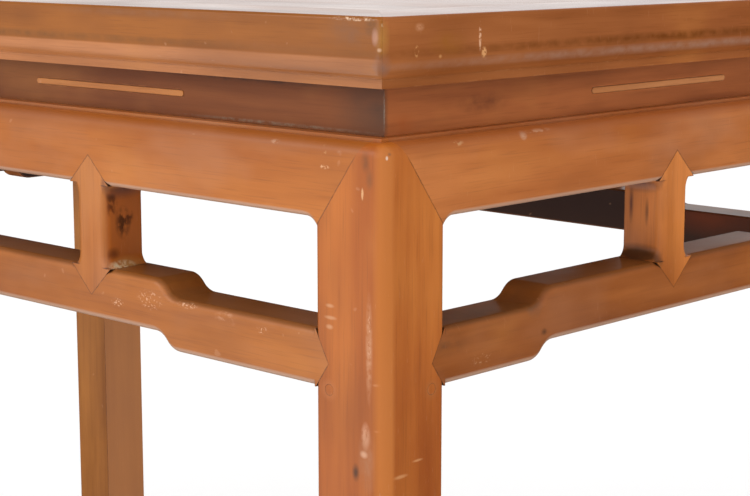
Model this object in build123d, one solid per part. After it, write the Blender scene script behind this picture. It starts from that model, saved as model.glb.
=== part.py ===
"""Waisted side table in lacquered hardwood.

Origin on the floor under the middle of the table, +X along the length, +Y to the back, +Z up.
The top is a mitred frame round floating boards. Below it come a recessed waist with inlaid
strips, aprons that embrace the legs with a mitred shoulder, humpbacked stretchers and short
struts with pointed shoulders. The legs end in inward-turned hoof feet.
"""
from build123d import *
from math import sqrt
import os

os.makedirs("parts", exist_ok=True)

# Driving sizes in millimetres
table_length = 1064.0  # over the outer faces of the legs
table_depth = 626.0
table_height = 860.0

leg_width = 58.0
leg_arris = 3.5  # rounding of the arrises beside the openings
hoof_height = 62.0
hoof_reach = 12.0  # how far the hoof turns inwards past the leg
ankle_cut = 5.0  # how much the leg narrows above the hoof
ankle_length = 110.0
toe_chamfer = 2.0
toe_height = 14.0
leg_tenon_width = 9.0
leg_tenon_length = 12.0
leg_tenon_shoulder = 3.0

top_overhang = 7.5
top_thickness = 43.5
fascia_height = 25.0
listel_height = 5.5
listel_overhang = 0.0
top_arris = 2.5
top_corner_radius = 6.5
frame_width = 70.0
frame_tenon_height = 12.0
frame_tenon_width = 26.0
frame_tenon_setback = 22.0
frame_tenon_blind = 14.0  # wood left outside the blind tenon

panel_thickness = 14.0
panel_boards = 3
tongue_thickness = 5.0
tongue_lip = 3.0  # height of the tongue above the panel's underside
tongue_length = 7.0
groove_room = 1.5  # space for the boards to swell

batten_count = 3
batten_width = 32.0
batten_height = 26.0
dovetail_height = 5.0
dovetail_neck = 20.0
dovetail_width = 25.0
batten_tenon_width = 16.0
batten_tenon_length = 16.0
batten_tenon_height = 12.0

waist_height = 31.5
waist_setback_long = 19.0
waist_setback_short = 16.0
waist_thickness = 11.0
waist_tongue = 5.0
waist_tongue_thickness = 5.0
waist_tongue_stop = 4.0  # the tongues stop this far short of the legs

inlay_length = 167.0
inlay_height = 4.4
inlay_depth = 2.0
inlay_proud = 0.5
inlay_ease = 0.3

apron_height = 52.5
apron_thickness = 34.0
apron_arris = 4.5
roll_radius = 9.0  # rolled upper edge of aprons and legs
bead_height = 2.0  # square bead between the roll and the ledge under the waist
bead_step = 0.5  # flat between the roll and the bead
apron_cove_radius = 12.0
apron_cove_drop = 6.5
mitre_inset = 15.0  # leg left showing beside the mitre at the apron's top
mitre_layer = 14.0  # thickness of the apron's embracing shoulder
key_neck = 8.0
key_width = 11.0
key_height = 6.0
key_place = 46.0  # middle of the hanging key, from the table's corner
key_top_cover = 6.0
apron_tenon_length = 12.0
apron_tenon_height = 26.0
apron_tenon_thickness = 10.0

stretcher_height = 38.0
stretcher_depth = 38.0
stretcher_top_drop = 198.5  # low part of the stretcher's top, below the table top
stretcher_arris = 5.5
stretcher_back_ease = 1.5
hump_rise = 11.5
hump_run = 25.0
hump_start_long = 194.5  # from the leg's outer face, on the long sides
hump_start_short = 147.5
shoulder_point = 11.5  # reach of the pointed shoulder into the leg
shoulder_point_drop = 21.5  # its tip, below the stretcher's top
shoulder_layer = 12.0
stretcher_tenon_length = 27.0
stretcher_tenon_height = 20.0
stretcher_tenon_thickness = 11.0
stretcher_tenon_setback = 16.0

strut_width = 33.0
strut_depth = 34.0
strut_arris = 7.0
strut_flare = 5.5
strut_flare_radius = 10.0
strut_point = 21.0
strut_tenon_width = 16.0
strut_tenon_length = 12.0
strut_tenon_thickness = 11.0
strut_tenon_setback = 17.0
strut_place = 288.0  # outer struts of the long sides, from the leg's outer face

plug_diameter = 7.0
plug_length = 12.0
plug_place = 46.0  # from the table's corner

fit = 0.2  # clearance on each side of a tenon, tongue or key
touch = 0.0001  # two faces closer than this are one
lap = 1.0  # how far a tenon's root reaches into its own piece

# Sizes that follow from the driving sizes
frame_bottom = table_height - top_thickness
waist_bottom = frame_bottom - waist_height
roll_top = waist_bottom - bead_height
bead_setback = roll_radius + bead_step
corner_radius = bead_setback  # rounding of a leg at the table's corner, so that the roll can turn it
leg_stub = max(waist_setback_long, waist_setback_short) + waist_thickness + fit  # leg behind the waist
apron_bottom = waist_bottom - apron_height
mitre_bottom = apron_bottom - apron_cove_drop
low_top = table_height - stretcher_top_drop
low_bottom = low_top - stretcher_height
low_middle = (low_top + low_bottom) / 2
high_top = low_top + hump_rise
high_bottom = high_top - stretcher_height
panel_bottom = table_height - panel_thickness

long_side = table_length / 2
short_side = table_depth / 2
sides = {
    "front": (long_side, Location((0, -short_side, 0), (0, 0, 0))),
    "right": (short_side, Location((long_side, 0, 0), (0, 0, 90))),
    "back": (long_side, Location((0, short_side, 0), (0, 0, 180))),
    "left": (short_side, Location((-long_side, 0, 0), (0, 0, 270))),
}
corners = {
    "front_left": Location((-long_side, -short_side, 0), (0, 0, 0)),
    "front_right": Location((long_side, -short_side, 0), (0, 0, 90)),
    "back_right": Location((long_side, short_side, 0), (0, 0, 180)),
    "back_left": Location((-long_side, short_side, 0), (0, 0, 270)),
}
# Each side is drawn with x along it, y inwards from the legs' outer face and z up.


def block(x0, x1, y0, y1, z0, z1, grow=0.0):
    """Box between two corners, grown by a clearance on every face."""
    size = (x1 - x0 + 2 * grow, y1 - y0 + 2 * grow, z1 - z0 + 2 * grow)
    middle = ((x0 + x1) / 2, (y0 + y1) / 2, (z0 + z1) / 2)
    return Pos(*middle) * Box(*size)


def upright(outline, y0, y1):
    """Extrude an outline drawn in x and z from y0 to y1."""
    plane = Plane(origin=(0, y0, 0), x_dir=(1, 0, 0), z_dir=(0, -1, 0))
    return extrude(plane * outline, amount=-(y1 - y0))


def lengthwise(outline, x0, x1):
    """Extrude a section drawn in y and z from x0 to x1."""
    plane = Plane(origin=(x0, 0, 0), x_dir=(0, 1, 0), z_dir=(1, 0, 0))
    return extrude(plane * outline, amount=x1 - x0)


def level(outline, z0, z1):
    """Extrude an outline drawn in x and y from z0 to z1."""
    return extrude(Plane(origin=(0, 0, z0)) * outline, amount=z1 - z0)


def polygon(*points):
    return make_face(Polyline(*points, close=True))


def mirrored(shape):
    """The shape and its image at the other end of the side."""
    return [shape, mirror(shape, about=Plane.YZ)]


def outer_edges(shape):
    """Edges that lie in the outer face of a side."""
    return [edge for edge in shape.edges() if edge.bounding_box().max.Y < touch]


# Joint shapes that two pieces share

def mitre_housing(half_length, grow=0.0):
    """Space in a leg for the apron's embracing shoulder, at the right end of a side."""
    outline = polygon(
        (half_length - leg_width, mitre_bottom),
        (half_length - mitre_inset, waist_bottom),
        (half_length - mitre_inset, waist_bottom + lap),
        (half_length - leg_width - lap, waist_bottom + lap),
        (half_length - leg_width - lap, mitre_bottom),
    )
    return upright(outline, -lap, mitre_layer + grow)


def hanging_key(half_length, grow=0.0):
    """Dovetailed key on the leg that the apron slides down over."""
    middle = half_length - key_place
    root = mitre_layer + lap
    tip = mitre_layer - key_height - grow
    neck = key_neck / 2 + grow
    wide = key_width / 2 + grow
    outline = polygon((middle - neck, root), (middle - wide, tip),
                      (middle + wide, tip), (middle + neck, root))
    return level(outline, mitre_bottom, waist_bottom - key_top_cover + grow)


def apron_tenon(half_length, grow=0.0):
    end = half_length - leg_width
    middle_y = (mitre_layer + apron_thickness) / 2
    middle_z = (apron_bottom + waist_bottom) / 2
    return block(
        end - lap, end + apron_tenon_length,
        middle_y - apron_tenon_thickness / 2, middle_y + apron_tenon_thickness / 2,
        middle_z - apron_tenon_height / 2, middle_z + apron_tenon_height / 2, grow,
    )


def stretcher_point(half_length):
    """Pointed shoulder of a stretcher, let into the leg's outer face."""
    end = half_length - leg_width
    tip = (end + shoulder_point, low_top - shoulder_point_drop)
    outline = polygon((end - lap, low_top), (end, low_top), tip, (end, low_bottom), (end - lap, low_bottom))
    return upright(outline, 0, shoulder_layer)


def stretcher_tenon(half_length, grow=0.0):
    end = half_length - leg_width
    return block(
        end - lap, end + stretcher_tenon_length,
        stretcher_tenon_setback, stretcher_tenon_setback + stretcher_tenon_thickness,
        low_middle - stretcher_tenon_height / 2, low_middle + stretcher_tenon_height / 2, grow,
    )


def plug(half_length, grow=0.0):
    """Round plug let into the leg's face, level with the stretcher's underside."""
    centre = Plane(origin=(half_length - plug_place, 0, low_bottom), z_dir=(0, 1, 0))
    return extrude(centre * Circle(plug_diameter / 2 + grow), amount=plug_length)


def strut_points(place):
    """Pointed shoulders of a strut, let into the apron above and the stretcher below."""
    half = strut_width / 2 + strut_flare
    left = place - half
    right = place + half
    upper = polygon((left, apron_bottom), (place, apron_bottom + strut_point), (right, apron_bottom))
    lower = polygon((left, high_top), (right, high_top), (place, high_top - strut_point))
    return [upright(upper, 0, shoulder_layer), upright(lower, 0, shoulder_layer)]


def strut_tenons(place, grow=0.0):
    return [
        block(place - strut_tenon_width / 2, place + strut_tenon_width / 2,
              strut_tenon_setback, strut_tenon_setback + strut_tenon_thickness, z0, z1, grow)
        for z0, z1 in (
            (apron_bottom - lap, apron_bottom + strut_tenon_length),
            (high_top - strut_tenon_length, high_top + lap),
        )
    ]


def strut_places(half_length):
    """Middles of the struts along a side: three on a long side, one on a short side."""
    if half_length == short_side:
        return {"middle": 0.0}
    outer = half_length - strut_place
    return {"left": -outer, "middle": 0.0, "right": outer}


def leg_top_tenons(grow=0.0):
    """Two stub tenons on a leg's top, one on each side of the frame's mitre."""
    near = leg_stub + leg_tenon_shoulder
    far = leg_width - leg_tenon_shoulder
    size = leg_tenon_width
    z0 = frame_bottom - lap
    z1 = frame_bottom + leg_tenon_length
    return [
        block(far - size, far, near, near + size, z0, z1, grow),
        block(near, near + size, far - size, far, z0, z1, grow),
    ]


def waist_setback(half_length):
    return waist_setback_long if half_length == long_side else waist_setback_short


def waist_tongue_block(half_length, z0, z1, grow=0.0):
    end = half_length - leg_width - waist_tongue_stop
    y0 = waist_setback(half_length) + (waist_thickness - waist_tongue_thickness) / 2
    return block(-end, end, y0, y0 + waist_tongue_thickness, z0, z1, grow)


def inlay_shape(place, y0, y1, grow=0.0):
    middle = (waist_bottom + frame_bottom) / 2
    outline = Pos(place, middle) * SlotOverall(inlay_length + 2 * grow, inlay_height + 2 * grow)
    return upright(outline, y0, y1)


def batten_places():
    pitch = (table_length + 2 * top_overhang - 2 * frame_width) / (batten_count + 1)
    return [pitch * (index - (batten_count - 1) / 2) for index in range(batten_count)]


def dovetail_outline(place, grow=0.0):
    """Dovetail of a batten in x and z, wider at the top."""
    return polygon(
        (place - dovetail_neck / 2 - grow, panel_bottom - lap),
        (place - dovetail_width / 2 - grow, panel_bottom + dovetail_height + grow),
        (place + dovetail_width / 2 + grow, panel_bottom + dovetail_height + grow),
        (place + dovetail_neck / 2 + grow, panel_bottom - lap),
    )


# Table top: mitred frame, floating boards and dovetailed battens

def moulded_outline(half_width):
    """Outline of the whole top seen from one side, with its moulded edge at both ends."""
    outer = half_width + top_overhang
    inner = half_width + listel_overhang
    fascia_bottom = table_height - fascia_height
    listel_top = frame_bottom + listel_height
    foot = Polyline((inner, listel_top), (inner, frame_bottom), (-inner, frame_bottom), (-inner, listel_top))
    head = Polyline((-outer, fascia_bottom), (-outer, table_height), (outer, table_height),
                    (outer, fascia_bottom))
    left_band = TangentArc((-outer, fascia_bottom), (-inner, listel_top), tangent=(0, -1))
    right_band = TangentArc((outer, fascia_bottom), (inner, listel_top), tangent=(0, -1))
    return make_face([foot, left_band, head, right_band])


def moulded_slab():
    """The top as one slab with its moulded edge, before it is divided into its members."""
    reach = max(long_side, short_side) + 2 * top_overhang
    slab = upright(moulded_outline(long_side), -reach, reach)
    slab = slab & lengthwise(moulded_outline(short_side), -reach, reach)
    corner_edges = [edge for edge in slab.edges()
                    if abs(edge.center().X) > long_side and abs(edge.center().Y) > short_side
                    and edge.bounding_box().size.Z > listel_height + touch]
    slab = fillet(corner_edges, top_corner_radius)
    rim = [edge for edge in slab.edges() if edge.bounding_box().min.Z > table_height - touch]
    return fillet(rim, top_arris)


def frame_member(side_name):
    """One member of the top frame, in its side's own position, mitred at both ends."""
    half_length, location = sides[side_name]
    end = half_length + top_overhang
    inner = frame_width - top_overhang
    plan = polygon((-end, -top_overhang), (end, -top_overhang),
                   (end - frame_width, inner), (frame_width - end, inner))
    return level(plan, frame_bottom - lap, table_height + lap) & (location.inverse() * top_slab)


def frame_tenon(half_length, grow=0.0):
    """Blind tenon at the right end of a long rail."""
    end = half_length + top_overhang
    y0 = -top_overhang + frame_tenon_setback
    middle = (frame_bottom + table_height) / 2
    return block(
        end - frame_width - lap, end - frame_tenon_blind, y0, y0 + frame_tenon_width,
        middle - frame_tenon_height / 2, middle + frame_tenon_height / 2, grow,
    )


def panel_tongue_heights():
    z0 = panel_bottom + tongue_lip
    return z0, z0 + tongue_thickness


def frame_inner_cuts(half_length):
    """Grooves in a frame member for the panel's tongue and the waist's tongue."""
    inner = frame_width - top_overhang
    z0, z1 = panel_tongue_heights()
    end = half_length + top_overhang - frame_width + tongue_length + groove_room
    panel_groove = block(-end, end, inner - tongue_length - groove_room, inner + 1, z0 - fit, z1 + fit)
    waist_groove = waist_tongue_block(half_length, frame_bottom - 1, frame_bottom + waist_tongue, fit)
    return [panel_groove, waist_groove]


def leg_tenons_along(half_length):
    """Mortises for the stub tenons of the legs at both ends of a side."""
    left = Location((-half_length, 0, 0), (0, 0, 0))
    right = Location((half_length, 0, 0), (0, 0, 90))
    return [place * tenon for place in (left, right) for tenon in leg_top_tenons(fit)]


def top_rail(side_name):
    half_length = sides[side_name][0]
    rail = frame_member(side_name)
    for tenon in mirrored(frame_tenon(half_length)):
        rail = rail + tenon
    for cut in frame_inner_cuts(half_length) + leg_tenons_along(half_length) + batten_mortises():
        rail = rail - cut
    return rail


def top_end(side_name):
    """Short member of the frame, mortised for the tenons of the long rails."""
    half_length, location = sides[side_name]
    member = frame_member(side_name)
    for rail_name in ("front", "back"):
        for tenon in mirrored(frame_tenon(long_side, fit)):
            member = member - location.inverse() * (sides[rail_name][1] * tenon)
    for cut in frame_inner_cuts(half_length) + leg_tenons_along(half_length):
        member = member - cut
    return member


def batten_tenon(place, y_inner, grow=0.0):
    """Tenon of a batten in the front rail, where y_inner is the rail's inner face."""
    middle = panel_bottom - batten_height / 2
    return block(
        place - batten_tenon_width / 2, place + batten_tenon_width / 2,
        y_inner - batten_tenon_length, y_inner + lap,
        middle - batten_tenon_height / 2, middle + batten_tenon_height / 2, grow,
    )


def batten_mortises():
    inner = frame_width - top_overhang
    return [batten_tenon(place, inner, fit) for place in batten_places()]


def batten(place):
    """Batten across the underside of the boards, tenoned into both long rails."""
    inner = short_side + top_overhang - frame_width
    bar = block(place - batten_width / 2, place + batten_width / 2, -inner, inner,
                panel_bottom - batten_height, panel_bottom)
    bar = bar + upright(dovetail_outline(place), -inner + fit, inner - fit)
    tenon = batten_tenon(place, -inner)
    return bar + tenon + mirror(tenon, about=Plane.XZ)


def panel_board(index):
    """One board of the panel, counted from the front, with tongues in the frame and its neighbour."""
    half_x = long_side + top_overhang - frame_width
    half_y = short_side + top_overhang - frame_width
    width = 2 * half_y / panel_boards
    y0 = -half_y + index * width
    y1 = y0 + width
    z0, z1 = panel_tongue_heights()
    board = block(-half_x + fit, half_x - fit, y0 + fit / 2, y1 - fit / 2, panel_bottom, table_height)
    tongue_end = y1 + tongue_length
    groove_depth = tongue_length + groove_room
    if index == 0:
        board = board + block(-half_x, half_x, y0 - tongue_length, y0 + 1, z0, z1)
    else:
        board = board - block(-half_x - 1, half_x + 1, y0 - 1, y0 + groove_depth, z0 - fit, z1 + fit)
    board = board + block(-half_x, half_x, y1 - 1, tongue_end, z0, z1)
    start = y0 - tongue_length if index == 0 else y0 + groove_depth
    for sign in (-1, 1):
        x0, x1 = sorted((sign * (half_x - 1), sign * (half_x + tongue_length)))
        board = board + block(x0, x1, start, y1 - 1, z0, z1)
    for place in batten_places():
        board = board - upright(dovetail_outline(place, fit), y0 - 20, y1 + 20)
    return board


# Waist: recessed boards with inlaid strips

def waist_board(half_length):
    y0 = waist_setback(half_length)
    y1 = y0 + waist_thickness
    outer = half_length - waist_setback(short_side if half_length == long_side else long_side)
    inner = outer - waist_thickness
    plan = polygon((-outer, y0), (outer, y0), (inner, y1), (-inner, y1))
    board = level(plan, waist_bottom, frame_bottom)
    board = board + waist_tongue_block(half_length, frame_bottom - 1, frame_bottom + waist_tongue - fit)
    board = board + waist_tongue_block(half_length, waist_bottom - waist_tongue + fit, waist_bottom + 1)
    for place in strut_places(half_length).values():
        board = board - inlay_shape(place, y0 - lap, y0 + inlay_depth, fit / 2)
    return board


def inlay(half_length, place):
    y0 = waist_setback(half_length)
    strip = inlay_shape(place, y0 - inlay_proud, y0 + inlay_depth)
    face = [edge for edge in strip.edges() if edge.bounding_box().max.Y < y0 - inlay_proud + touch]
    return chamfer(face, inlay_ease)


# Aprons: moulded boards that embrace the legs

def apron_outline(end_points, end):
    """Outline in x and z: coved lower edge, then the given points at the right end and their images."""
    run = sqrt(apron_cove_radius ** 2 - (apron_cove_radius - apron_cove_drop) ** 2)
    right_cove = TangentArc((end - run, apron_bottom), (end, mitre_bottom), tangent=(1, 0))
    left_cove = TangentArc((run - end, apron_bottom), (-end, mitre_bottom), tangent=(-1, 0))
    lower = Line((run - end, apron_bottom), (end - run, apron_bottom))
    upper = Polyline((end, mitre_bottom), *end_points, *[(-x, z) for x, z in reversed(end_points)],
                     (-end, mitre_bottom))
    return make_face([lower, right_cove, upper, left_cove])


def apron(half_length):
    end = half_length - leg_width
    top = waist_bottom
    shoulder = apron_outline([(half_length - mitre_inset, top)], end)
    rear = apron_outline([(end, top)], end)
    front_layer = upright(shoulder, 0, mitre_layer)
    lower_arris = [edge for edge in outer_edges(front_layer)
                   if edge.bounding_box().max.Z < apron_bottom + touch]
    front_layer = fillet(lower_arris, apron_arris)
    body = front_layer + upright(rear, mitre_layer, apron_thickness)
    body = body & lengthwise(shoulder_section(apron_thickness), -half_length, half_length)
    for tenon in mirrored(apron_tenon(half_length)):
        body = body + tenon
    for key in mirrored(hanging_key(half_length, fit)):
        body = body - key
    body = body - waist_tongue_block(half_length, waist_bottom - waist_tongue, waist_bottom + 1, fit)
    for place in strut_places(half_length).values():
        body = body - strut_points(place)[0] - strut_tenons(place, fit)[0]
    return body


def shoulder_section(thickness):
    """Section in y and z whose outer top is rolled, with a square bead and a ledge behind the roll."""
    roll_bottom = roll_top - roll_radius
    roll = TangentArc((0, roll_bottom), (roll_radius, roll_top), tangent=(0, 1))
    rest = Polyline((roll_radius, roll_top), (bead_setback, roll_top), (bead_setback, waist_bottom),
                    (thickness, waist_bottom), (thickness, mitre_bottom - lap), (0, mitre_bottom - lap),
                    (0, roll_bottom))
    return make_face([roll, rest])


# Stretchers: humpbacked rails with pointed shoulders

def stretcher(half_length, hump_start):
    end = half_length - leg_width
    low = half_length - hump_start
    high = low - hump_run
    middle = (low + high) / 2

    def edge_curve(z):
        """Humped edge whose low ends are at height z."""
        mid_z = z + hump_rise / 2
        top_z = z + hump_rise
        curve = [Line((-high, top_z), (high, top_z))]
        for sign in (-1, 1):
            curve += [
                TangentArc((sign * high, top_z), (sign * middle, mid_z), tangent=(sign, 0)),
                TangentArc((sign * low, z), (sign * middle, mid_z), tangent=(-sign, 0)),
                Line((sign * low, z), (sign * end, z)),
            ]
        return curve

    outline = edge_curve(low_top) + edge_curve(low_bottom)
    outline += [Line((end, low_bottom), (end, low_top)), Line((-end, low_bottom), (-end, low_top))]
    rail = upright(make_face(outline), 0, stretcher_depth)
    rail = fillet([edge for edge in outer_edges(rail) if edge.bounding_box().size.X > touch], stretcher_arris)
    back = [edge for edge in rail.edges()
            if edge.bounding_box().min.Y > stretcher_depth - touch and edge.bounding_box().size.X > touch]
    rail = chamfer(back, stretcher_back_ease)
    for joint in mirrored(stretcher_point(half_length)) + mirrored(stretcher_tenon(half_length)):
        rail = rail + joint
    for place in strut_places(half_length).values():
        rail = rail - strut_points(place)[1] - strut_tenons(place, fit)[1]
    return rail


# Struts between apron and stretcher

def strut(place):
    """Post with flared ends and rounded outer arrises."""
    half = strut_width / 2
    wide = half + strut_flare
    rise = sqrt(strut_flare_radius ** 2 - (strut_flare_radius - strut_flare) ** 2)
    outline = make_face([
        Line((wide, high_top), (-wide, high_top)),
        TangentArc((-half, high_top + rise), (-wide, high_top), tangent=(0, -1)),
        Line((-half, high_top + rise), (-half, apron_bottom - rise)),
        TangentArc((-half, apron_bottom - rise), (-wide, apron_bottom), tangent=(0, 1)),
        Line((-wide, apron_bottom), (wide, apron_bottom)),
        TangentArc((half, apron_bottom - rise), (wide, apron_bottom), tangent=(0, 1)),
        Line((half, apron_bottom - rise), (half, high_top + rise)),
        TangentArc((half, high_top + rise), (wide, high_top), tangent=(0, -1)),
    ])
    post = upright(outline, 0, strut_depth)
    post = fillet([edge for edge in outer_edges(post) if edge.bounding_box().size.Z > touch], strut_arris)
    post = Pos(place, 0, 0) * post
    for joint in strut_points(place) + strut_tenons(place):
        post = post + joint
    return post


# Legs

def leg_outline():
    """Outline of a leg in x and z, with the outer corner at x = 0."""
    ankle = leg_width - ankle_cut
    ankle_top = hoof_height + ankle_length
    return make_face([
        Polyline((0, 0), (0, roll_top), (bead_setback, roll_top),
                 (bead_setback, waist_bottom), (leg_stub, waist_bottom), (leg_stub, frame_bottom),
                 (leg_width, frame_bottom), (leg_width, ankle_top)),
        Spline((leg_width, ankle_top), (ankle, hoof_height), tangents=((0, -1), (0, -1))),
        Spline((ankle, hoof_height), (leg_width + hoof_reach, toe_height), tangents=((0, -1), (0.2, -1))),
        Polyline((leg_width + hoof_reach, toe_height), (leg_width + hoof_reach - toe_chamfer, 0), (0, 0)),
    ])


def rounded_corner(reach, radius):
    """Plan of a square whose corner at the origin is rounded."""
    arc = TangentArc((0, radius), (radius, 0), tangent=(0, -1))
    rest = Polyline((radius, 0), (reach, 0), (reach, reach), (0, reach), (0, radius))
    return make_face([arc, rest])


def leg():
    """Leg with its outer corner on the z axis and its body towards +x and +y."""
    outline = leg_outline()
    reach = leg_width + hoof_reach
    post = upright(outline, 0, reach) & lengthwise(outline, 0, reach)
    post = post & level(rounded_corner(reach, corner_radius), 0, table_height)
    shoulder = [edge for edge in post.edges()
                if abs(edge.center().Z - roll_top) < touch
                and min(edge.center().X, edge.center().Y) < corner_radius / 2]
    post = fillet(shoulder, roll_radius)
    side_arris = [edge for edge in post.edges()
                  if edge.bounding_box().size.Z > leg_width / 2
                  and min(edge.bounding_box().max.X, edge.bounding_box().max.Y) < touch
                  and max(edge.bounding_box().max.X, edge.bounding_box().max.Y) > leg_width - ankle_cut - lap]
    post = fillet(side_arris, leg_arris)
    # The joints at a side's right end are turned so that they land on each outer face of the leg.
    faces = [lambda shape: mirror(shape, about=Plane.YZ), lambda shape: Rot(0, 0, -90) * shape]
    for turn in faces:
        housing = turn(mitre_housing(0.0))
        key = turn(hanging_key(0.0) & mitre_housing(0.0, lap))
        post = post - housing + key
        post = post - turn(apron_tenon(0.0, fit))
        post = post - turn(stretcher_point(0.0))
        post = post - turn(stretcher_tenon(0.0, fit))
        post = post - turn(plug(0.0, fit / 2))
    for tenon in leg_top_tenons():
        post = post + tenon
    return post


def save(name, shape, location=Location()):
    """Write one node, which has to be a single solid."""
    solids = shape.solids()
    print(name, "solids:", len(solids))
    export_step(location * solids[0], f"parts/{name}.step")


top_slab = moulded_slab()
for name in ("front", "back"):
    save(f"top_rail_{name}", top_rail(name), sides[name][1])
for name in ("left", "right"):
    save(f"top_end_{name}", top_end(name), sides[name][1])
for index in range(panel_boards):
    save(f"top_board_{index + 1}", panel_board(index))
for index, place in enumerate(batten_places()):
    save(f"batten_{index + 1}", batten(place))
for name, (half_length, location) in sides.items():
    hump_start = hump_start_short if half_length == short_side else hump_start_long
    save(f"waist_{name}", waist_board(half_length), location)
    save(f"apron_{name}", apron(half_length), location)
    save(f"stretcher_{name}", stretcher(half_length, hump_start), location)
    for spot, place in strut_places(half_length).items():
        save(f"inlay_{name}_{spot}", inlay(half_length, place), location)
        save(f"strut_{name}_{spot}", strut(place), location)
    for spot, shape in zip(("right", "left"), mirrored(plug(half_length))):
        save(f"plug_{name}_{spot}", shape, location)
leg_solid = leg()
for name, location in corners.items():
    save(f"leg_{name}", leg_solid, location)
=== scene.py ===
import math
import bpy
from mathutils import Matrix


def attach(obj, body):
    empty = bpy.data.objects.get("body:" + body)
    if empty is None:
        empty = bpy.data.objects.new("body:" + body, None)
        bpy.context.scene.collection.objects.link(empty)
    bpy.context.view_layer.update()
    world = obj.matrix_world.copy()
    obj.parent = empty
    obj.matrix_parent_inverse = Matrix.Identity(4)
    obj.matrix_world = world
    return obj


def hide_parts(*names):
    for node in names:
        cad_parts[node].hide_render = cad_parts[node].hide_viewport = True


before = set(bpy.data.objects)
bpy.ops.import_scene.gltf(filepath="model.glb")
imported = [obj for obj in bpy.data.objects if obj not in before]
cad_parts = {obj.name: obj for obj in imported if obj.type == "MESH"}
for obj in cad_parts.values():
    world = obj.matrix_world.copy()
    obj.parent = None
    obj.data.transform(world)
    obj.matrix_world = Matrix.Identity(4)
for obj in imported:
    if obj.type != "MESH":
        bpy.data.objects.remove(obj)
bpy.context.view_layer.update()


# Legs. Each is one squared post of lacquered hardwood, housed for the aprons with an embracing
# mitre and notched for the stretchers' pointed shoulders. As on every piece, the sharp edges are
# eased by a plane stroke, and dirt has settled in the joints.

def add(tree, kind, settings=None, inputs=None):
    """Adds one shader node, with its settings, and with its inputs set or linked."""
    node = tree.nodes.new(kind)
    for name, value in (settings or {}).items():
        setattr(node, name, value)
    for name, value in (inputs or {}).items():
        if isinstance(value, bpy.types.NodeSocket):
            tree.links.new(value, node.inputs[name])
        else:
            node.inputs[name].default_value = value
    return node


def srgb(code, alpha=1.0):
    """Turns a colour such as "C47B47" into the linear values that a shader takes."""
    channels = [int(code[i:i + 2], 16) / 255 for i in (0, 2, 4)]
    linear = [c / 12.92 if c <= 0.04045 else ((c + 0.055) / 1.055) ** 2.4 for c in channels]
    return (*linear, alpha)


def eased(node_name, material, ease=0.00045):
    """A copy of a CAD node with clean faces and eased edges, which stands for that node."""
    same_point = 0.000005
    same_plane = math.radians(0.4)
    sharp_edge = math.radians(28)
    round_face = math.radians(30)
    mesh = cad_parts[node_name].data.copy()
    mesh.name = node_name + "_piece"
    piece = bpy.data.objects.new(node_name + "_piece", mesh)
    bpy.context.scene.collection.objects.link(piece)
    bpy.ops.object.select_all(action="DESELECT")
    piece.select_set(True)
    bpy.context.view_layer.objects.active = piece
    bpy.ops.object.mode_set(mode="EDIT")
    bpy.ops.mesh.select_all(action="SELECT")
    bpy.ops.mesh.remove_doubles(threshold=same_point)
    bpy.ops.mesh.dissolve_limited(angle_limit=same_plane)
    bpy.ops.mesh.normals_make_consistent(inside=False)
    bpy.ops.object.mode_set(mode="OBJECT")
    edge = piece.modifiers.new("eased_edges", "BEVEL")
    edge.width = ease
    edge.segments = 2
    edge.limit_method = "ANGLE"
    edge.angle_limit = sharp_edge
    edge.use_clamp_overlap = True
    bpy.ops.object.modifier_apply(modifier=edge.name)
    bpy.ops.object.shade_smooth_by_angle(angle=round_face)
    flat = piece.modifiers.new("flat_faces", "WEIGHTED_NORMAL")
    flat.mode = "FACE_AREA"
    flat.weight = 100
    flat.keep_sharp = True
    bpy.ops.object.modifier_apply(modifier=flat.name)
    piece.data.materials.clear()
    piece.data.materials.append(material)
    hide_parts(node_name)
    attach(piece, "root")
    return piece


# Shades that all the table's wood shares: its figure, its wear, the dirt of its age, and the painted
# shade in its inner corners and sheltered places.
cloud_dark, cloud_pale, fibre_dark = "7E4216", "E39A4E", "5E2E10"
rubbed_pale, bare_edge, scratch_pale = "CC9C7E", "D08E5C", "DCA57E"
seam_dirt, crevice_dirt_and_shade, shelter_shade_tone = "34180A", "2E170C", "3A2018"

# How far from an edge or a joint each of these reaches, in metres.
wear_reach, seam_reach, crevice_reach, shelter_reach = 0.0022, 0.0013, 0.0035, 0.030
seam_fade = 0.008

# Each kind of mark has its specks to the metre, how soft their rims are, and how far they cover.
mark_kinds = {"chip": (330.0, 0.045, 0.90), "fleck": (700.0, 0.05, 0.80),
              "spot": (260.0, 0.08, 0.80), "rub": (420.0, 0.15, 0.60),
              "stain": (150.0, 0.26, 0.85), "shade": (45.0, 0.30, 0.80)}


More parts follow.
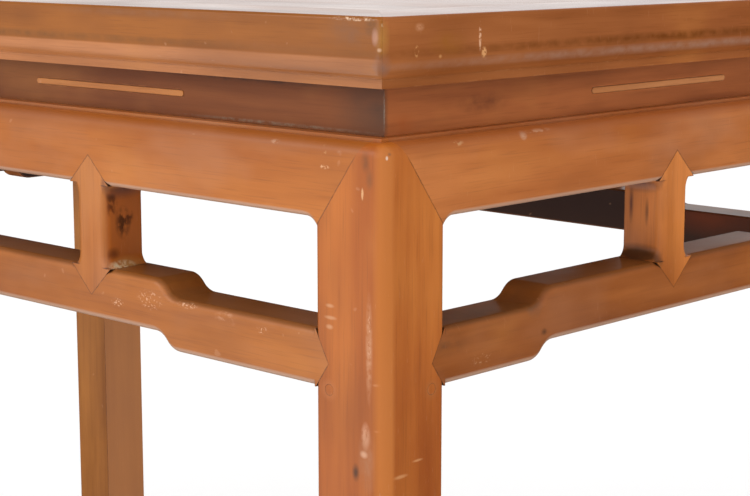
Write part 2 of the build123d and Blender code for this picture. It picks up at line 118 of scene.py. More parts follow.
def lacquered_wood(name, grain, light, dark, marks=(), roughness=0.30, shine=0.50, plain_sides=(),
                   tints=(), joint=0.85, joint_below=2.0, painted_shelter_shade=0.0, haze=0.0, scratched=0.20,
                   seed=0.0):
    """Hardwood under old, rubbed lacquer: a satin skin with warm figure showing through it.
    grain is the axis, 0 to 2, that its fibres run along, between its light and dark tones.
    plain_sides lists faces of another tone: direction, how closely a face points there where the
    tone starts and where it is full, colour, strength, and how dull it is. tints lists what
    darkens along an axis: axis, where it starts, where it is full, colour. joint is how dark the
    dirt and the painted shade are at joints below the height joint_below, and painted_shelter_shade
    is how dark the painted shade is in sheltered places.
    haze is how much of the skin is rubbed pale, and scratched is how pale its scratches are."""
    material = bpy.data.materials.new(name)
    material.use_nodes = True
    tree = material.node_tree
    tree.nodes.clear()
    place = add(tree, "ShaderNodeTexCoord").outputs["Object"]
    axes = add(tree, "ShaderNodeSeparateXYZ", {}, {"Vector": place}).outputs
    sharp = add(tree, "ShaderNodeNewGeometry").outputs["Normal"]

    def figure(across, along, detail, offset):
        """Noise drawn out along the grain, in cells to the metre across it and along it."""
        stretch = [across] * 3
        stretch[grain] = along
        spread = add(tree, "ShaderNodeMapping", {"vector_type": "POINT"}, {
            "Vector": place, "Scale": stretch,
            "Location": (offset + seed, offset * 1.7 + seed, offset * 2.3)})
        return add(tree, "ShaderNodeTexNoise", {"noise_dimensions": "3D"}, {
            "Vector": spread.outputs["Vector"], "Scale": 1.0, "Detail": detail,
            "Roughness": 0.55}).outputs["Fac"]

    def turned_away(radius):
        """1 on a flat face, and less where an edge or a joint is within the radius."""
        rounded = add(tree, "ShaderNodeBevel", {"samples": 6}, {"Radius": radius})
        return add(tree, "ShaderNodeVectorMath", {"operation": "DOT_PRODUCT"}, {
            0: rounded.outputs["Normal"], 1: sharp}).outputs["Value"]

    def sheltered(reach):
        """1 in the open, and less where other wood stands within reach."""
        return add(tree, "ShaderNodeAmbientOcclusion", {"samples": 8}, {
            "Distance": reach}).outputs["AO"]

    def laid_over(colour, shade, *covers, blend="MIX"):
        """Lays a shade over the colour, as far as its covers together allow. Each cover is a
        value, where it starts and where it ends, and how much it allows at either."""
        amount = None
        for value, start, end, at_start, at_end in covers:
            allowed = add(tree, "ShaderNodeMapRange", {"clamp": True}, {
                "Value": value, "From Min": start, "From Max": end,
                "To Min": at_start, "To Max": at_end}).outputs["Result"]
            amount = allowed if amount is None else add(
                tree, "ShaderNodeMath", {"operation": "MULTIPLY"}, {0: amount, 1: allowed}).outputs[0]
        return add(tree, "ShaderNodeMix", {"data_type": "RGBA", "blend_type": blend}, {
            0: amount, 6: colour, 7: srgb(shade)}).outputs[2]

    # The broad figure is 40 mm wide, a streak 7 mm, a cloud 70 mm and a fibre 1 mm. Real fibres
    # are finer, and are drawn as coarse as they need to be seen.
    broad = figure(26.0, 3.2, 3.0, 1.0)
    streak = figure(150.0, 6.0, 4.0, 5.0)
    fibre = figure(900.0, 26.0, 2.0, 9.0)
    cloud = figure(14.0, 8.0, 3.0, 14.0)
    colour = laid_over(srgb(light), dark, (broad, 0.37, 0.66, 0.0, 1.0))
    colour = laid_over(colour, dark, (streak, 0.48, 0.72, 0.0, 0.42))
    colour = laid_over(colour, cloud_dark, (cloud, 0.52, 0.70, 0.0, 0.26))
    colour = laid_over(colour, cloud_pale, (cloud, 0.46, 0.30, 0.0, 0.16))
    colour = laid_over(colour, fibre_dark, (fibre, 0.55, 0.80, 0.0, 0.26))
    if haze > 0:
        rubbed = figure(18.0, 9.0, 3.0, 17.0)
        colour = laid_over(colour, rubbed_pale, (rubbed, 0.48, 0.68, 0.0, haze))
    for axis, start, full, shade in tints:
        colour = laid_over(colour, shade, (axes[axis], start, full, 0.0, 1.0), blend="MULTIPLY")

    # Lacquer wears off proud edges first, and the bare wood under it is paler.
    rubs = figure(330.0, 120.0, 3.0, 21.0)
    colour = laid_over(colour, bare_edge, (turned_away(wear_reach), 0.985, 0.90, 0.0, 1.0),
                       (rubs, 0.54, 0.66, 0.0, 0.30))

    # Faces that are not meant to be seen were left rough and dull, and are painted dark as shade.
    # Faces are also painted by where they point: painted shade on strut sides, dust and painted shade
    # on ledges, painted light on the far legs' inner faces, and wear with painted highlights and
    # reflections along edges. Elsewhere the roughness varies little, and stays on one side of 0.27
    # within one wood, because the render draws thin lines where it passes that.
    rough = add(tree, "ShaderNodeMapRange", {"clamp": True}, {
        "Value": cloud, "From Min": 0.3, "From Max": 0.7,
        "To Min": roughness - 0.015, "To Max": roughness + 0.08}).outputs["Result"]
    level = shine
    for direction, start, full, shade, strength, dull in plain_sides:
        facing = add(tree, "ShaderNodeVectorMath", {"operation": "DOT_PRODUCT"}, {
            0: sharp, 1: direction}).outputs["Value"]
        colour = laid_over(colour, shade, (facing, start, full, 0.0, strength))
        if dull > 0:
            dimmed = add(tree, "ShaderNodeMapRange", {"clamp": True}, {
                "Value": facing, "From Min": start, "From Max": full,
                "To Min": 1.0, "To Max": 1.0 - dull}).outputs["Result"]
            level = add(tree, "ShaderNodeMath", {"operation": "MULTIPLY"}, {
                0: level, 1: dimmed}).outputs[0]
            coarse = add(tree, "ShaderNodeMapRange", {"clamp": True}, {
                "Value": facing, "From Min": start, "From Max": full,
                "To Min": 0.0, "To Max": 0.95 * dull}).outputs["Result"]
            rough = add(tree, "ShaderNodeMath", {"operation": "MAXIMUM"}, {
                0: rough, 1: coarse}).outputs[0]

    # Dirt and old lacquer fill the grooves where two pieces meet, with painted shade in the inner
    # corners, and painted shade darkens the sheltered places.
    joint_full = joint_below - seam_fade
    colour = laid_over(colour, seam_dirt, (turned_away(seam_reach), 0.985, 0.88, 0.0, 1.0),
                       (rubs, 0.36, 0.62, joint * 0.35, joint),
                       (axes[2], joint_below, joint_full, 0.0, 1.0))
    # Dirt in the joints, with painted shade in the inner corners within a few millimetres.
    colour = laid_over(colour, crevice_dirt_and_shade, (sheltered(crevice_reach), 0.93, 0.50, 0.0, joint),
                       (axes[2], joint_below, joint_full, 0.18, 1.0))
    # Painted shade: places that other wood shelters within 30 mm are darkened.
    if painted_shelter_shade > 0:
        colour = laid_over(colour, shelter_shade_tone, (sheltered(shelter_reach), 0.75, 0.25, 0.0, painted_shelter_shade))

    # Chips, flecks, rubs and stains, each in its own small patch.
    for index, (kind, centre, reach, shade, share) in enumerate(marks):
        specks, soft, depth = mark_kinds[kind]
        near = add(tree, "ShaderNodeMapping", {"vector_type": "POINT"}, {
            "Vector": place, "Scale": [1 / r for r in reach],
            "Location": [-c / r for c, r in zip(centre, reach)]}).outputs["Vector"]
        away = add(tree, "ShaderNodeVectorMath", {"operation": "LENGTH"}, {0: near})
        spots = figure(specks, specks * 0.65, 4.0, 31.0 + 3.0 * index)
        colour = laid_over(colour, shade,
                           (away.outputs["Value"], 1.0, 0.60 - 1.6 * soft, 0.0, 1.0),
                           (spots, 1.0 - share - soft, 1.0 - share + soft, 0.0, depth))

    # Many small scratches, each a short pale line 11 mm long and 0.7 mm wide, which is wider than
    # a real one, so that it can be seen.
    scored = add(tree, "ShaderNodeMapping", {"vector_type": "POINT"}, {
        "Vector": place, "Rotation": (0.5, 0.35, 0.8), "Scale": (90.0, 1400.0, 90.0)})
    scratch = add(tree, "ShaderNodeTexNoise", {}, {
        "Vector": scored.outputs["Vector"], "Scale": 1.0, "Detail": 1.0}).outputs["Fac"]
    colour = laid_over(colour, scratch_pale, (scratch, 0.745, 0.77, 0.0, scratched))

    # The grain stands up by a tenth of a millimetre, and the plane left waves 30 mm wide.
    relief = add(tree, "ShaderNodeMix", {"data_type": "FLOAT"}, {
        0: 0.35, 2: streak, 3: fibre}).outputs[0]
    ripple = add(tree, "ShaderNodeBump", {}, {
        "Strength": 0.25, "Distance": 0.00012, "Height": relief}).outputs["Normal"]
    wave = figure(32.0, 14.0, 1.0, 40.0)
    planed = add(tree, "ShaderNodeBump", {}, {
        "Strength": 0.5, "Distance": 0.0005, "Height": wave, "Normal": ripple}).outputs["Normal"]
    skin = add(tree, "ShaderNodeBsdfPrincipled", {}, {
        "Base Color": colour, "Roughness": rough, "IOR": 1.5, "Specular IOR Level": level,
        "Normal": planed})
    add(tree, "ShaderNodeOutputMaterial", {}, {"Surface": skin.outputs["BSDF"]})
    return material


leg_light, leg_dark = "CE762B", "AC5715"
# The far legs take darker copies of the same wood's tones: painted shade for the shade they stand in.
far_leg_shaded_light, far_leg_shaded_dark = "B57233", "8F5420"
leg_marks = [
    # kind, centre, half sizes, colour, how much of the patch is marked
    ("rub", (0.5210, -0.3130, 0.6550), (0.0034, 0.003, 0.038), "D49A72", 0.58),
    ("fleck", (0.5210, -0.3130, 0.6620), (0.0020, 0.003, 0.018), "E2B290", 0.38),
    ("rub", (0.5180, -0.3130, 0.5990), (0.0044, 0.003, 0.010), "E6AA86", 0.62),
    ("rub", (0.5166, -0.3130, 0.5870), (0.0040, 0.003, 0.0030), "EEBC9A", 0.80),
    ("stain", (0.5195, -0.3130, 0.5830), (0.0090, 0.003, 0.024), "B07A56", 0.50),
    ("stain", (0.5095, -0.3130, 0.5740), (0.0038, 0.004, 0.0065), "3E2814", 0.80),
    ("stain", (0.5180, -0.3130, 0.7715), (0.0046, 0.003, 0.0080), "744420", 0.60),
    ("stain", (0.5215, -0.3130, 0.7615), (0.0036, 0.003, 0.0080), "845028", 0.56),
    ("chip", (0.5155, -0.3130, 0.7515), (0.0012, 0.003, 0.0044), "E4AC78", 0.48),
    ("rub", (0.4870, -0.3130, 0.6780), (0.0044, 0.003, 0.0016), "D9A074", 0.80),
    ("rub", (0.4876, -0.3130, 0.6704), (0.0064, 0.003, 0.0016), "D9A074", 0.80),
    ("rub", (0.4866, -0.3130, 0.6644), (0.0038, 0.003, 0.0020), "D9A074", 0.80),
    ("rub", (0.5285, -0.3130, 0.6330), (0.0050, 0.003, 0.0013), "E8B084", 0.90),
    ("rub", (0.5290, -0.3130, 0.6035), (0.0044, 0.003, 0.0012), "E8B084", 0.90),
    ("rub", (0.5320, -0.2960, 0.5720), (0.003, 0.008, 0.0016), "DA9A64", 0.80),
    ("rub", (0.5320, -0.2800, 0.5795), (0.003, 0.006, 0.0011), "DA9A64", 0.80),
    ("stain", (0.5320, -0.2670, 0.6235), (0.003, 0.0080, 0.0080), "AE642C", 0.90),
    ("rub", (0.5320, -0.2670, 0.6235), (0.003, 0.0046, 0.0046), "CC9458", 0.44),
    ("stain", (0.4860, -0.3130, 0.6235), (0.0080, 0.003, 0.0080), "BC6E38", 0.90),
    # A light band beside the rounded corner: wear, with a painted highlight.
    ("chip", (0.5320, -0.3085, 0.6300), (0.0100, 0.0085, 0.400), "CA7631", 0.78),
    ("stain", (0.5292, -0.3130, 0.5480), (0.0022, 0.003, 0.0330), "8E4A1C", 0.85),
    # A painted glint on the rounded top of the corner, with a darker ring round it.
    ("chip", (0.5313, -0.3078, 0.7745), (0.0011, 0.0011, 0.0018), "E8C8AE", 0.80),
    ("rub", (0.5319, -0.3058, 0.7768), (0.0016, 0.0018, 0.0016), "6E5440", 0.80),
]
leg_fade = ((2, 0.730, 0.560, "E7DCC8"),)
leg_shoulder_height = 0.778
# Faces of another tone: where it starts, where it is full, colour, strength, how dull.
# The outer corner: paler worn lacquer, with a painted highlight along it.
worn_highlit_arris = (0.90, 1.00, "D98A48", 0.10, 0.0)
# The far legs' inner faces: painted light, lighter where they catch the light.
lit_inner_face = ((1, 0, 0), 0.45, 0.80, "C4804E", 0.65, 0.0)
slant = 0.7071  # x and y of a direction halfway between two faces
for corner, outward in (("front_right", (slant, -slant, 0)), ("back_right", (slant, slant, 0))):
    wood = lacquered_wood("lacquered_wood_leg_" + corner, 2, leg_light, leg_dark, leg_marks,
                          tints=leg_fade, plain_sides=((outward, *worn_highlit_arris),),
                          joint_below=leg_shoulder_height, seed=2.0)
    eased("leg_" + corner, wood)
# The far legs: painted shade in their darker tones, and painted light on their inner faces.
for corner, outward in (("front_left", (-slant, -slant, 0)), ("back_left", (-slant, slant, 0))):
    wood = lacquered_wood("lacquered_wood_leg_" + corner, 2, far_leg_shaded_light, far_leg_shaded_dark,
                          plain_sides=((outward, *worn_highlit_arris), lit_inner_face),
                          joint_below=leg_shoulder_height, seed=3.0)
    eased("leg_" + corner, wood)


# Aprons. Moulded boards with a rolled upper edge and coved ends, slid down over the legs' keys.
# Their backs are rough and dull and painted dark as shade, and their lower edges are painted pale
# with the reflection of the floor.

apron_long, apron_short = ("C8752B", "AC5C17"), ("CA783A", "AD5D22")
apron_marks = [
    ("chip", (0.4820, -0.3130, 0.7765), (0.0028, 0.003, 0.0080), "EBB478", 0.41),
    ("fleck", (0.4825, -0.3130, 0.7655), (0.0050, 0.003, 0.0016), "E8B080", 0.50),
    ("fleck", (0.4373, -0.3130, 0.7782), (0.0050, 0.003, 0.0020), "EFC09A", 0.50),
    ("rub", (0.4956, -0.3130, 0.7752), (0.0030, 0.003, 0.0020), "D8A07C", 0.50),
    ("rub", (0.5300, -0.1770, 0.7780), (0.004, 0.0045, 0.0040), "E6C4A6", 0.66),
    ("chip", (0.5295, -0.1600, 0.7800), (0.004, 0.0150, 0.0016), "EDBE98", 0.50),
    ("chip", (0.5300, -0.2427, 0.7785), (0.004, 0.0070, 0.0025), "E3AE78", 0.44),
    # Painted shade: the top of the rolled edge, darker under the top's overhang, on the front and the
    # right.
    ("shade", (0.0000, -0.3100, 0.7800), (2.000, 0.0150, 0.0110), "9C5420", 0.95),
    ("shade", (0.5290, 0.0000, 0.7815), (0.0150, 1.200, 0.0080), "A85A28", 0.95),
    # Painted reflection: thin pale lines on the ledge below the waist, where it mirrors the bright
    # surround.
    ("rub", (0.3500, -0.3000, 0.7840), (0.180, 0.0040, 0.0012), "A89680", 0.56),
    ("rub", (0.5190, -0.2850, 0.7840), (0.004, 0.0160, 0.0012), "A89680", 0.52),
]
apron_shoulder_height = 0.776
# Backs: rough and dull, and painted dark as shade.
rough_shaded_back = (0.45, 0.80, "362D2C", 0.94, 0.85)
# Lower outer edges: a painted reflection of the white floor.
floor_reflection_edge = (0.70, 0.92, "C8A48C", 0.72, 0.0)


def lower_edge(inward):
    """The direction that the lower outer edge of a board faces."""
    return (-0.6 * inward[0], -0.6 * inward[1], -0.8)


for side, grain, inward, tones in (("front", 0, (0, 1, 0), apron_long),
                                   ("right", 1, (-1, 0, 0), apron_short),
                                   ("back", 0, (0, -1, 0), apron_long),
                                   ("left", 1, (1, 0, 0), apron_short)):
    wood = lacquered_wood("lacquered_wood_apron_" + side, grain, *tones, apron_marks,
                          plain_sides=((inward, *rough_shaded_back), (lower_edge(inward), *floor_reflection_edge)),
                          joint_below=apron_shoulder_height, haze=0.16, seed=4.0 + grain)
    eased("apron_" + side, wood)


# Stretchers. Rails that rise in the middle in a low hump, with pointed shoulders in the legs. They
# are a shade darker than the legs, rough behind and painted dark there as shade, and dark on top
# from dust and painted shade.

stretcher_long, stretcher_short = ("B96B24", "974F12"), ("AA6026", "8A4610")
stretcher_marks = [
    ("fleck", (0.2742, -0.3130, 0.6500), (0.0080, 0.003, 0.004), "E9B690", 0.42),
    ("fleck", (0.3099, -0.3130, 0.6572), (0.0150, 0.003, 0.008), "E2A983", 0.40),
    ("fleck", (0.3483, -0.3130, 0.6600), (0.0130, 0.003, 0.004), "E9B690", 0.44),
    ("rub", (0.3883, -0.3130, 0.6560), (0.0120, 0.003, 0.007), "DCA27C", 0.38),
    ("fleck", (0.4241, -0.3130, 0.6530), (0.0060, 0.003, 0.003), "E9B690", 0.42),
    ("stain", (0.5320, -0.1630, 0.6640), (0.004, 0.010, 0.012), "7A5A44", 0.58),
    ("stain", (0.5320, -0.1530, 0.6425), (0.004, 0.004, 0.003), "52341E", 0.68),
    # The right stretcher's dark top: dust, with painted shade under the apron.
    ("stain", (0.5180, -0.2150, 0.6625), (0.020, 0.060, 0.004), "4E3424", 0.60),
    ("stain", (0.5320, -0.2550, 0.6500), (0.004, 0.030, 0.010), "6E4424", 0.46),
    ("fleck", (0.5320, -0.2180, 0.6350), (0.004, 0.012, 0.005), "C89468", 0.36),
    ("shade", (0.3800, 0.2750, 0.6570), (0.0700, 0.002, 0.0200), "7A3E28", 0.80),
]
# Tops: dark from dust, and from painted shade under the aprons.
dusty_shaded_top = (0.45, 0.80, "6E4422", 0.62)
for side, grain, inward, tones, top_dull in (("front", 0, (0, 1, 0), stretcher_long, 0.0),
                                             ("right", 1, (-1, 0, 0), stretcher_short, 0.3),
                                             ("back", 0, (0, -1, 0), stretcher_long, 0.0),
                                             ("left", 1, (1, 0, 0), stretcher_short, 0.3)):
    wood = lacquered_wood("lacquered_wood_stretcher_" + side, grain, *tones, stretcher_marks,
                          plain_sides=((inward, *rough_shaded_back), ((0, 0, 1), *dusty_shaded_top, top_dull),
                                       (lower_edge(inward), *floor_reflection_edge)),
                          haze=0.10, seed=8.0 + grain)
    eased("stretcher_" + side, wood)


# Struts. Short posts between apron and stretcher, let into both with a pointed shoulder. Hands and
# cloths miss their sides, where dark stains have gathered. The sides are also painted darker as
# shade, and the struts carry painted shade under the apron and where they are sheltered.

strut_marks = [
    ("spot", (0.2600, -0.2960, 0.7045), (0.0014, 0.0085, 0.0140), "30180A", 0.52),
    ("spot", (0.2600, -0.3050, 0.7170), (0.0014, 0.0060, 0.0090), "5A260C", 0.54),
    ("spot", (0.2600, -0.2900, 0.7080), (0.0014, 0.0044, 0.0070), "4A200C", 0.54),
    ("stain", (0.2600, -0.3060, 0.7237), (0.0014, 0.0056, 0.0046), "2A120A", 0.95),
    ("stain", (0.2600, -0.3050, 0.6825), (0.0014, 0.0070, 0.0060), "5A260C", 0.90),
    # Painted shade: the top of the strut's side, darker under the apron.
    ("stain", (0.2610, -0.2950, 0.7325), (0.0050, 0.0280, 0.0120), "3A2C36", 0.90),
    ("stain", (0.2680, -0.2950, 0.6760), (0.0130, 0.0170, 0.0056), "C99A58", 0.62),
    ("spot", (0.2660, -0.3000, 0.6745), (0.0100, 0.0130, 0.0040), "E6D2AC", 0.52),
    # Painted shade: the top of the right strut's side, darker under the apron.
    ("stain", (0.5120, -0.0180, 0.7320), (0.0260, 0.0060, 0.0110), "4E3C42", 0.88),
    ("spot", (0.5130, -0.0180, 0.6745), (0.0280, 0.0060, 0.0110), "1C1610", 0.84),
    ("rub", (0.5120, -0.0210, 0.6714), (0.0200, 0.0060, 0.0018), "B8AC98", 0.76),
    ("stain", (0.5040, -0.0165, 0.7130), (0.0022, 0.0012, 0.0160), "5A2410", 0.88),
    ("stain", (0.5180, -0.0165, 0.7080), (0.0020, 0.0012, 0.0120), "7A4218", 0.84),
    # Painted highlight along the strut's front corner.
    ("rub", (0.5305, -0.0170, 0.7000), (0.0022, 0.0014, 0.0260), "D8A070", 0.52),
]
# The long struts' sides: painted shade, darker than their lit fronts.
shaded_strut_side = ((1, 0, 0), 0.70, 0.92, "B45E1A", 0.80, 0.0)
strut_foot = (2, 0.700, 0.655, "DACCBE")
strut_wood_long = lacquered_wood("lacquered_wood_strut_long", 2, "CB7834", "A0581C", strut_marks,
                                 plain_sides=(shaded_strut_side,), joint=0.90, painted_shelter_shade=0.20, haze=0.12,
                                 seed=12.0)
strut_wood_short = lacquered_wood("lacquered_wood_strut_short", 2, "E2873B", "B36321", strut_marks,
                                  tints=(strut_foot,), joint=0.90, painted_shelter_shade=0.28, haze=0.08,
                                  seed=12.0)
struts = [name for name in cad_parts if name.startswith("strut_")]
for name in sorted(struts):
    long_side = name.startswith(("strut_front", "strut_back"))
    eased(name, strut_wood_long if long_side else strut_wood_short)


# Plugs. Round pins in the outer faces of the legs, of the same wood, flush and hardly to be seen.
# Their faces were planed off together with the leg's.

fine_ease = 0.0001
plug_wood = lacquered_wood("lacquered_wood_plug", 2, leg_light, leg_dark, tints=leg_fade,
                           joint=0.0, seed=2.0)
plugs = [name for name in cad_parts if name.startswith("plug_")]
for name in sorted(plugs):
    eased(name, plug_wood, ease=fine_ease)


# Waist. Recessed boards of a darker, redder wood, mitred at the corners, with tongues up and down.
# They are duller than the frame, and darkened with painted shade where the top shelters them.

waist_marks = [
    ("shade", (0.5160, -0.2940, 0.8000), (0.0500, 0.004, 0.032), "46372E", 0.66),
    # Painted shadow: a dark line at the top of the waist, under the overhang of the top.
    ("stain", (0.4000, -0.2940, 0.8145), (0.1300, 0.002, 0.0030), "33241F", 0.54),
    # Painted reflection: a thin pale line at the foot of the waist, mirroring the bright surround.
    ("rub", (0.4200, -0.2940, 0.7868), (0.1100, 0.002, 0.0014), "94846F", 0.50),
    ("rub", (0.5160, -0.2940, 0.8000), (0.0009, 0.0009, 0.015), "A69888", 0.55),
    ("stain", (0.5160, -0.2780, 0.7920), (0.002, 0.0140, 0.008), "A8541E", 0.56),
    ("stain", (0.5160, -0.2000, 0.8000), (0.002, 0.0300, 0.008), "5E2E1A", 0.46),
]
waist_wood_long = lacquered_wood("dark_wood_long", 0, "91532A", "713B1C", waist_marks,
                                 roughness=0.38, shine=0.24, joint=0.0, painted_shelter_shade=0.45,
                                 scratched=0.0, seed=16.0)
waist_wood_short = lacquered_wood("dark_wood_short", 1, "B0622F", "82421E", waist_marks,
                                  roughness=0.38, shine=0.24, joint=0.0, painted_shelter_shade=0.12,
                                  scratched=0.0, seed=18.0)
for side, wood in (("front", waist_wood_long), ("right", waist_wood_short),
                   ("back", waist_wood_long), ("left", waist_wood_short)):
    eased("waist_" + side, wood)


# Inlays. Slim strips of light wood with round ends, let into the waist over each strut. Dirt
# outlines them.

inlay_wood_long = lacquered_wood("inlay_wood_long", 0, "D79152", "BE763E", shine=0.30,
                                 joint=0.55, seed=20.0)
inlay_wood_short = lacquered_wood("inlay_wood_short", 1, "CB854F", "B06B3A", shine=0.30,
                                  joint=0.55, seed=22.0)
inlays = [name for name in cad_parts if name.startswith("inlay_")]
for name in sorted(inlays):
    long_side = name.startswith(("inlay_front", "inlay_back"))
    eased(name, inlay_wood_long if long_side else inlay_wood_short, ease=fine_ease)


# Top frame. Four moulded members, mitred at the corners, with the long ones tenoned into the ends.
# The near corner is the most knocked part of the table, and its joint is closed by old lacquer.

top_rail_tones, top_end_tones = ("C67F4C", "A06236"), ("B06A3A", "8D4D22")
top_marks = [
    # Painted shade: dark lines at the foot of the fascia, on the front and the right, where the
    # moulding turns in.
    ("stain", (0.0000, -0.3205, 0.8378), (0.700, 0.0060, 0.0038), "7E4E20", 0.60),
    ("stain", (0.5395, 0.0000, 0.8375), (0.0060, 0.450, 0.0042), "703A0E", 0.62),
    # Painted reflection: the pale pink band on the right end, which faces down towards the white
    # floor.
    ("stain", (0.5360, 0.0000, 0.8300), (0.0120, 0.450, 0.0042), "A67C66", 0.60),
    ("stain", (0.5385, -0.3195, 0.8470), (0.0060, 0.0060, 0.0130), "B07A3A", 0.74),
    ("stain", (0.5370, -0.3180, 0.8285), (0.0075, 0.0075, 0.0110), "8E6450", 0.74),
    ("stain", (0.5300, -0.3205, 0.8540), (0.0065, 0.003, 0.0065), "66482A", 0.60),
    ("chip", (0.5385, -0.3198, 0.8555), (0.0018, 0.0018, 0.0050), "E9D4B0", 0.50),
    ("chip", (0.5390, -0.3188, 0.8560), (0.0012, 0.0012, 0.0040), "3A2012", 0.55),
    ("rub", (0.5330, -0.3205, 0.8480), (0.0030, 0.003, 0.0062), "CC9A84", 0.84),
    ("rub", (0.5362, -0.3205, 0.8403), (0.0018, 0.003, 0.0016), "E8BC98", 0.84),
    ("rub", (0.5395, -0.2880, 0.8530), (0.003, 0.0050, 0.003), "CC9068", 0.62),
    ("chip", (0.5395, -0.2905, 0.8385), (0.003, 0.0024, 0.0040), "D89A5E", 0.48),
    ("rub", (0.5395, -0.2690, 0.8345), (0.003, 0.0018, 0.0014), "D89A5E", 0.80),
    ("chip", (0.5395, -0.2316, 0.8453), (0.003, 0.0014, 0.0100), "E3AE88", 0.54),
    ("fleck", (0.5395, -0.2276, 0.8352), (0.003, 0.0030, 0.004), "E3A66C", 0.54),
    ("stain", (0.5395, -0.2620, 0.8420), (0.003, 0.0200, 0.010), "9A5C20", 0.54),
    ("stain", (0.5120, -0.3205, 0.8500), (0.0280, 0.003, 0.0120), "8A5A3A", 0.52),
    ("stain", (0.4400, -0.3205, 0.8390), (0.0700, 0.003, 0.0050), "9A5A28", 0.50),
    ("stain", (0.3200, -0.3205, 0.8560), (0.1200, 0.003, 0.0040), "96603A", 0.50),
    ("fleck", (0.5150, -0.3205, 0.8582), (0.0210, 0.004, 0.0015), "EBC7A4", 0.47),
]
# Painted shade: the long rails' fascia is darker above 0.835 m than the band below it.
fascia_shade_long = ((2, 0.8340, 0.8352, "D5C47E"),)
fascia_short = ((1, -0.200, 0.200, "E2D2C0"),)
polished = 0.12
for side, grain, tones, tints in (("top_rail_front", 0, top_rail_tones, fascia_shade_long),
                                  ("top_end_right", 1, top_end_tones, fascia_short),
                                  ("top_rail_back", 0, top_rail_tones, fascia_shade_long),
                                  ("top_end_left", 1, top_end_tones, fascia_short)):
    wood = lacquered_wood("lacquered_wood_" + side, grain, *tones, top_marks, roughness=polished,
                          tints=tints, joint=0.12, seed=24.0 + grain)
    eased(side, wood, ease=fine_ease)


# Panel. Floating boards, tongued into the frame and together, polished above, and rough beneath
# with painted shade.
# They lie on dovetailed battens of plainer, bare wood.

board_wood = lacquered_wood("lacquered_wood_board", 0, "A56434", "8A5028", roughness=polished,
                            plain_sides=(((0, 0, -1), *rough_shaded_back),), joint=0.40, seed=28.0)
for index in range(1, 4):
    eased(f"top_board_{index}", board_wood, ease=fine_ease)
batten_wood = lacquered_wood("bare_wood_batten", 1, "8E5C38", "6A4024", roughness=0.55, shine=0.24,
                             seed=30.0)
for index in range(1, 4):
    eased(f"batten_{index}", batten_wood)


# Studio. A white floor and a white surround, brightest at the front, with one soft lamp. The
# lacquer mirrors a window at the front and the white wall behind, and a dark room to the right.

paper_lit, paper_seen, paper_dark, paper_gleam = 0.88, 0.95, 0.02, 0.80
bpy.ops.mesh.primitive_plane_add(size=30.0, location=(0, 0, 0))
floor = bpy.context.object
floor.name = "floor"
paper = bpy.data.materials.new("white_paper")
paper.use_nodes = True
paper_tree = paper.node_tree
paper_tree.nodes.clear()
paper_ray = add(paper_tree, "ShaderNodeLightPath")
paper_place = add(paper_tree, "ShaderNodeTexCoord").outputs["Object"]
outward = add(paper_tree, "ShaderNodeVectorMath", {"operation": "NORMALIZE"}, {0: paper_place})
windowward = add(paper_tree, "ShaderNodeVectorMath", {"operation": "DOT_PRODUCT"}, {
    0: outward.outputs["Vector"], 1: (-0.35, -0.94, 0.0)})
gleam = add(paper_tree, "ShaderNodeMapRange", {"clamp": True}, {
    "Value": windowward.outputs["Value"], "From Min": 0.70, "From Max": 0.97,
    "To Min": paper_dark, "To Max": paper_gleam}).outputs["Result"]
tone = add(paper_tree, "ShaderNodeMix", {"data_type": "FLOAT"}, {
    0: paper_ray.outputs["Is Glossy Ray"], 2: paper_lit, 3: gleam}).outputs[0]
tone = add(paper_tree, "ShaderNodeMix", {"data_type": "FLOAT"}, {
    0: paper_ray.outputs["Is Camera Ray"], 2: tone, 3: paper_seen}).outputs[0]
sheet = add(paper_tree, "ShaderNodeBsdfDiffuse", {}, {"Color": tone})
add(paper_tree, "ShaderNodeOutputMaterial", {}, {"Surface": sheet.outputs["BSDF"]})
floor.data.materials.append(paper)

world = bpy.data.worlds.new("studio")
bpy.context.scene.world = world
world.use_nodes = True
sky = world.node_tree
sky.nodes.clear()
ray = add(sky, "ShaderNodeLightPath")
direction = add(sky, "ShaderNodeTexCoord").outputs["Generated"]


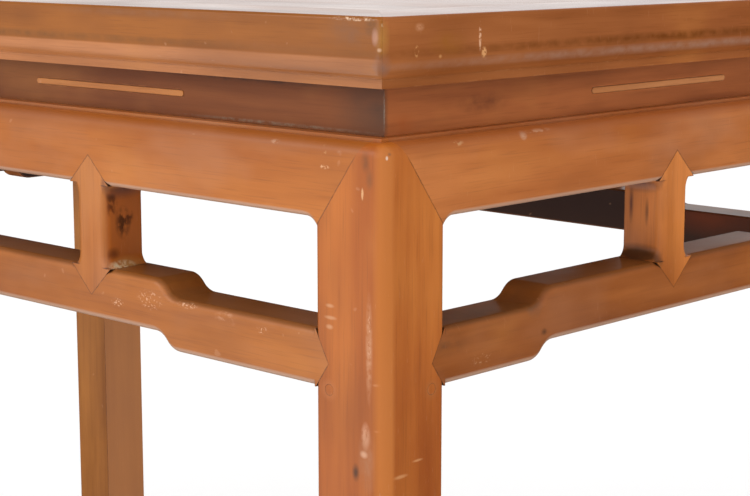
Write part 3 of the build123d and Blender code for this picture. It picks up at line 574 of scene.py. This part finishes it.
def towards(point, low, high, sharpness=1.0):
    """Brightness that grows from low, away from a direction, to high, towards it."""
    facing = add(sky, "ShaderNodeVectorMath", {"operation": "DOT_PRODUCT"}, {
        0: direction, 1: point})
    share = add(sky, "ShaderNodeMapRange", {}, {
        "Value": facing.outputs["Value"], "From Min": -1.0, "From Max": 1.0}).outputs["Result"]
    focused = add(sky, "ShaderNodeMath", {"operation": "POWER"}, {
        0: share, 1: sharpness}).outputs[0]
    return add(sky, "ShaderNodeMapRange", {}, {
        "Value": focused, "To Min": low, "To Max": high}).outputs["Result"]


diffuse_level = towards((-0.10, -0.97, 0.22), 0.80, 1.28)
behind_level = towards((-0.69, 0.72, 0.0), 0.02, 0.95, sharpness=8.0)
window_level = towards((-0.20, -0.98, 0.0), 0.0, 1.50, sharpness=8.0)
glossy_level = add(sky, "ShaderNodeMath", {"operation": "ADD"}, {
    0: behind_level, 1: window_level}).outputs[0]
level = add(sky, "ShaderNodeMix", {"data_type": "FLOAT"}, {
    0: ray.outputs["Is Glossy Ray"], 2: diffuse_level, 3: glossy_level}).outputs[0]
level = add(sky, "ShaderNodeMix", {"data_type": "FLOAT"}, {
    0: ray.outputs["Is Camera Ray"], 2: level, 3: 1.0}).outputs[0]
surround = add(sky, "ShaderNodeBackground", {}, {"Color": (1, 1, 1, 1), "Strength": level})
add(sky, "ShaderNodeOutputWorld", {}, {"Surface": surround.outputs["Background"]})

bpy.ops.object.light_add(type="AREA", location=(-1.2, -2.6, 2.2))
key = bpy.context.object
key.name = "key_light"
key.data.shape = "RECTANGLE"
key.data.size = 1.8
key.data.size_y = 1.2
key.data.energy = 10.0
key.rotation_euler = (math.radians(58), 0, math.radians(-24))

bpy.context.scene.view_settings.view_transform = "Standard"


# Camera. It stands a metre from one corner, a little above the top, and looks slightly down. Its
# long lens takes in only that corner and keeps the upright lines nearly parallel.

below_level = 9.75
turned_left = 43.57
bpy.ops.object.camera_add(location=(1.2829, -1.1085, 0.9081))
camera = bpy.context.object
camera.name = "camera"
camera.rotation_euler = (math.radians(90 - below_level), 0, math.radians(turned_left))
camera.data.sensor_width = 36.0
camera.data.lens = 87.65
camera.data.clip_start = 0.05
bpy.context.scene.camera = camera
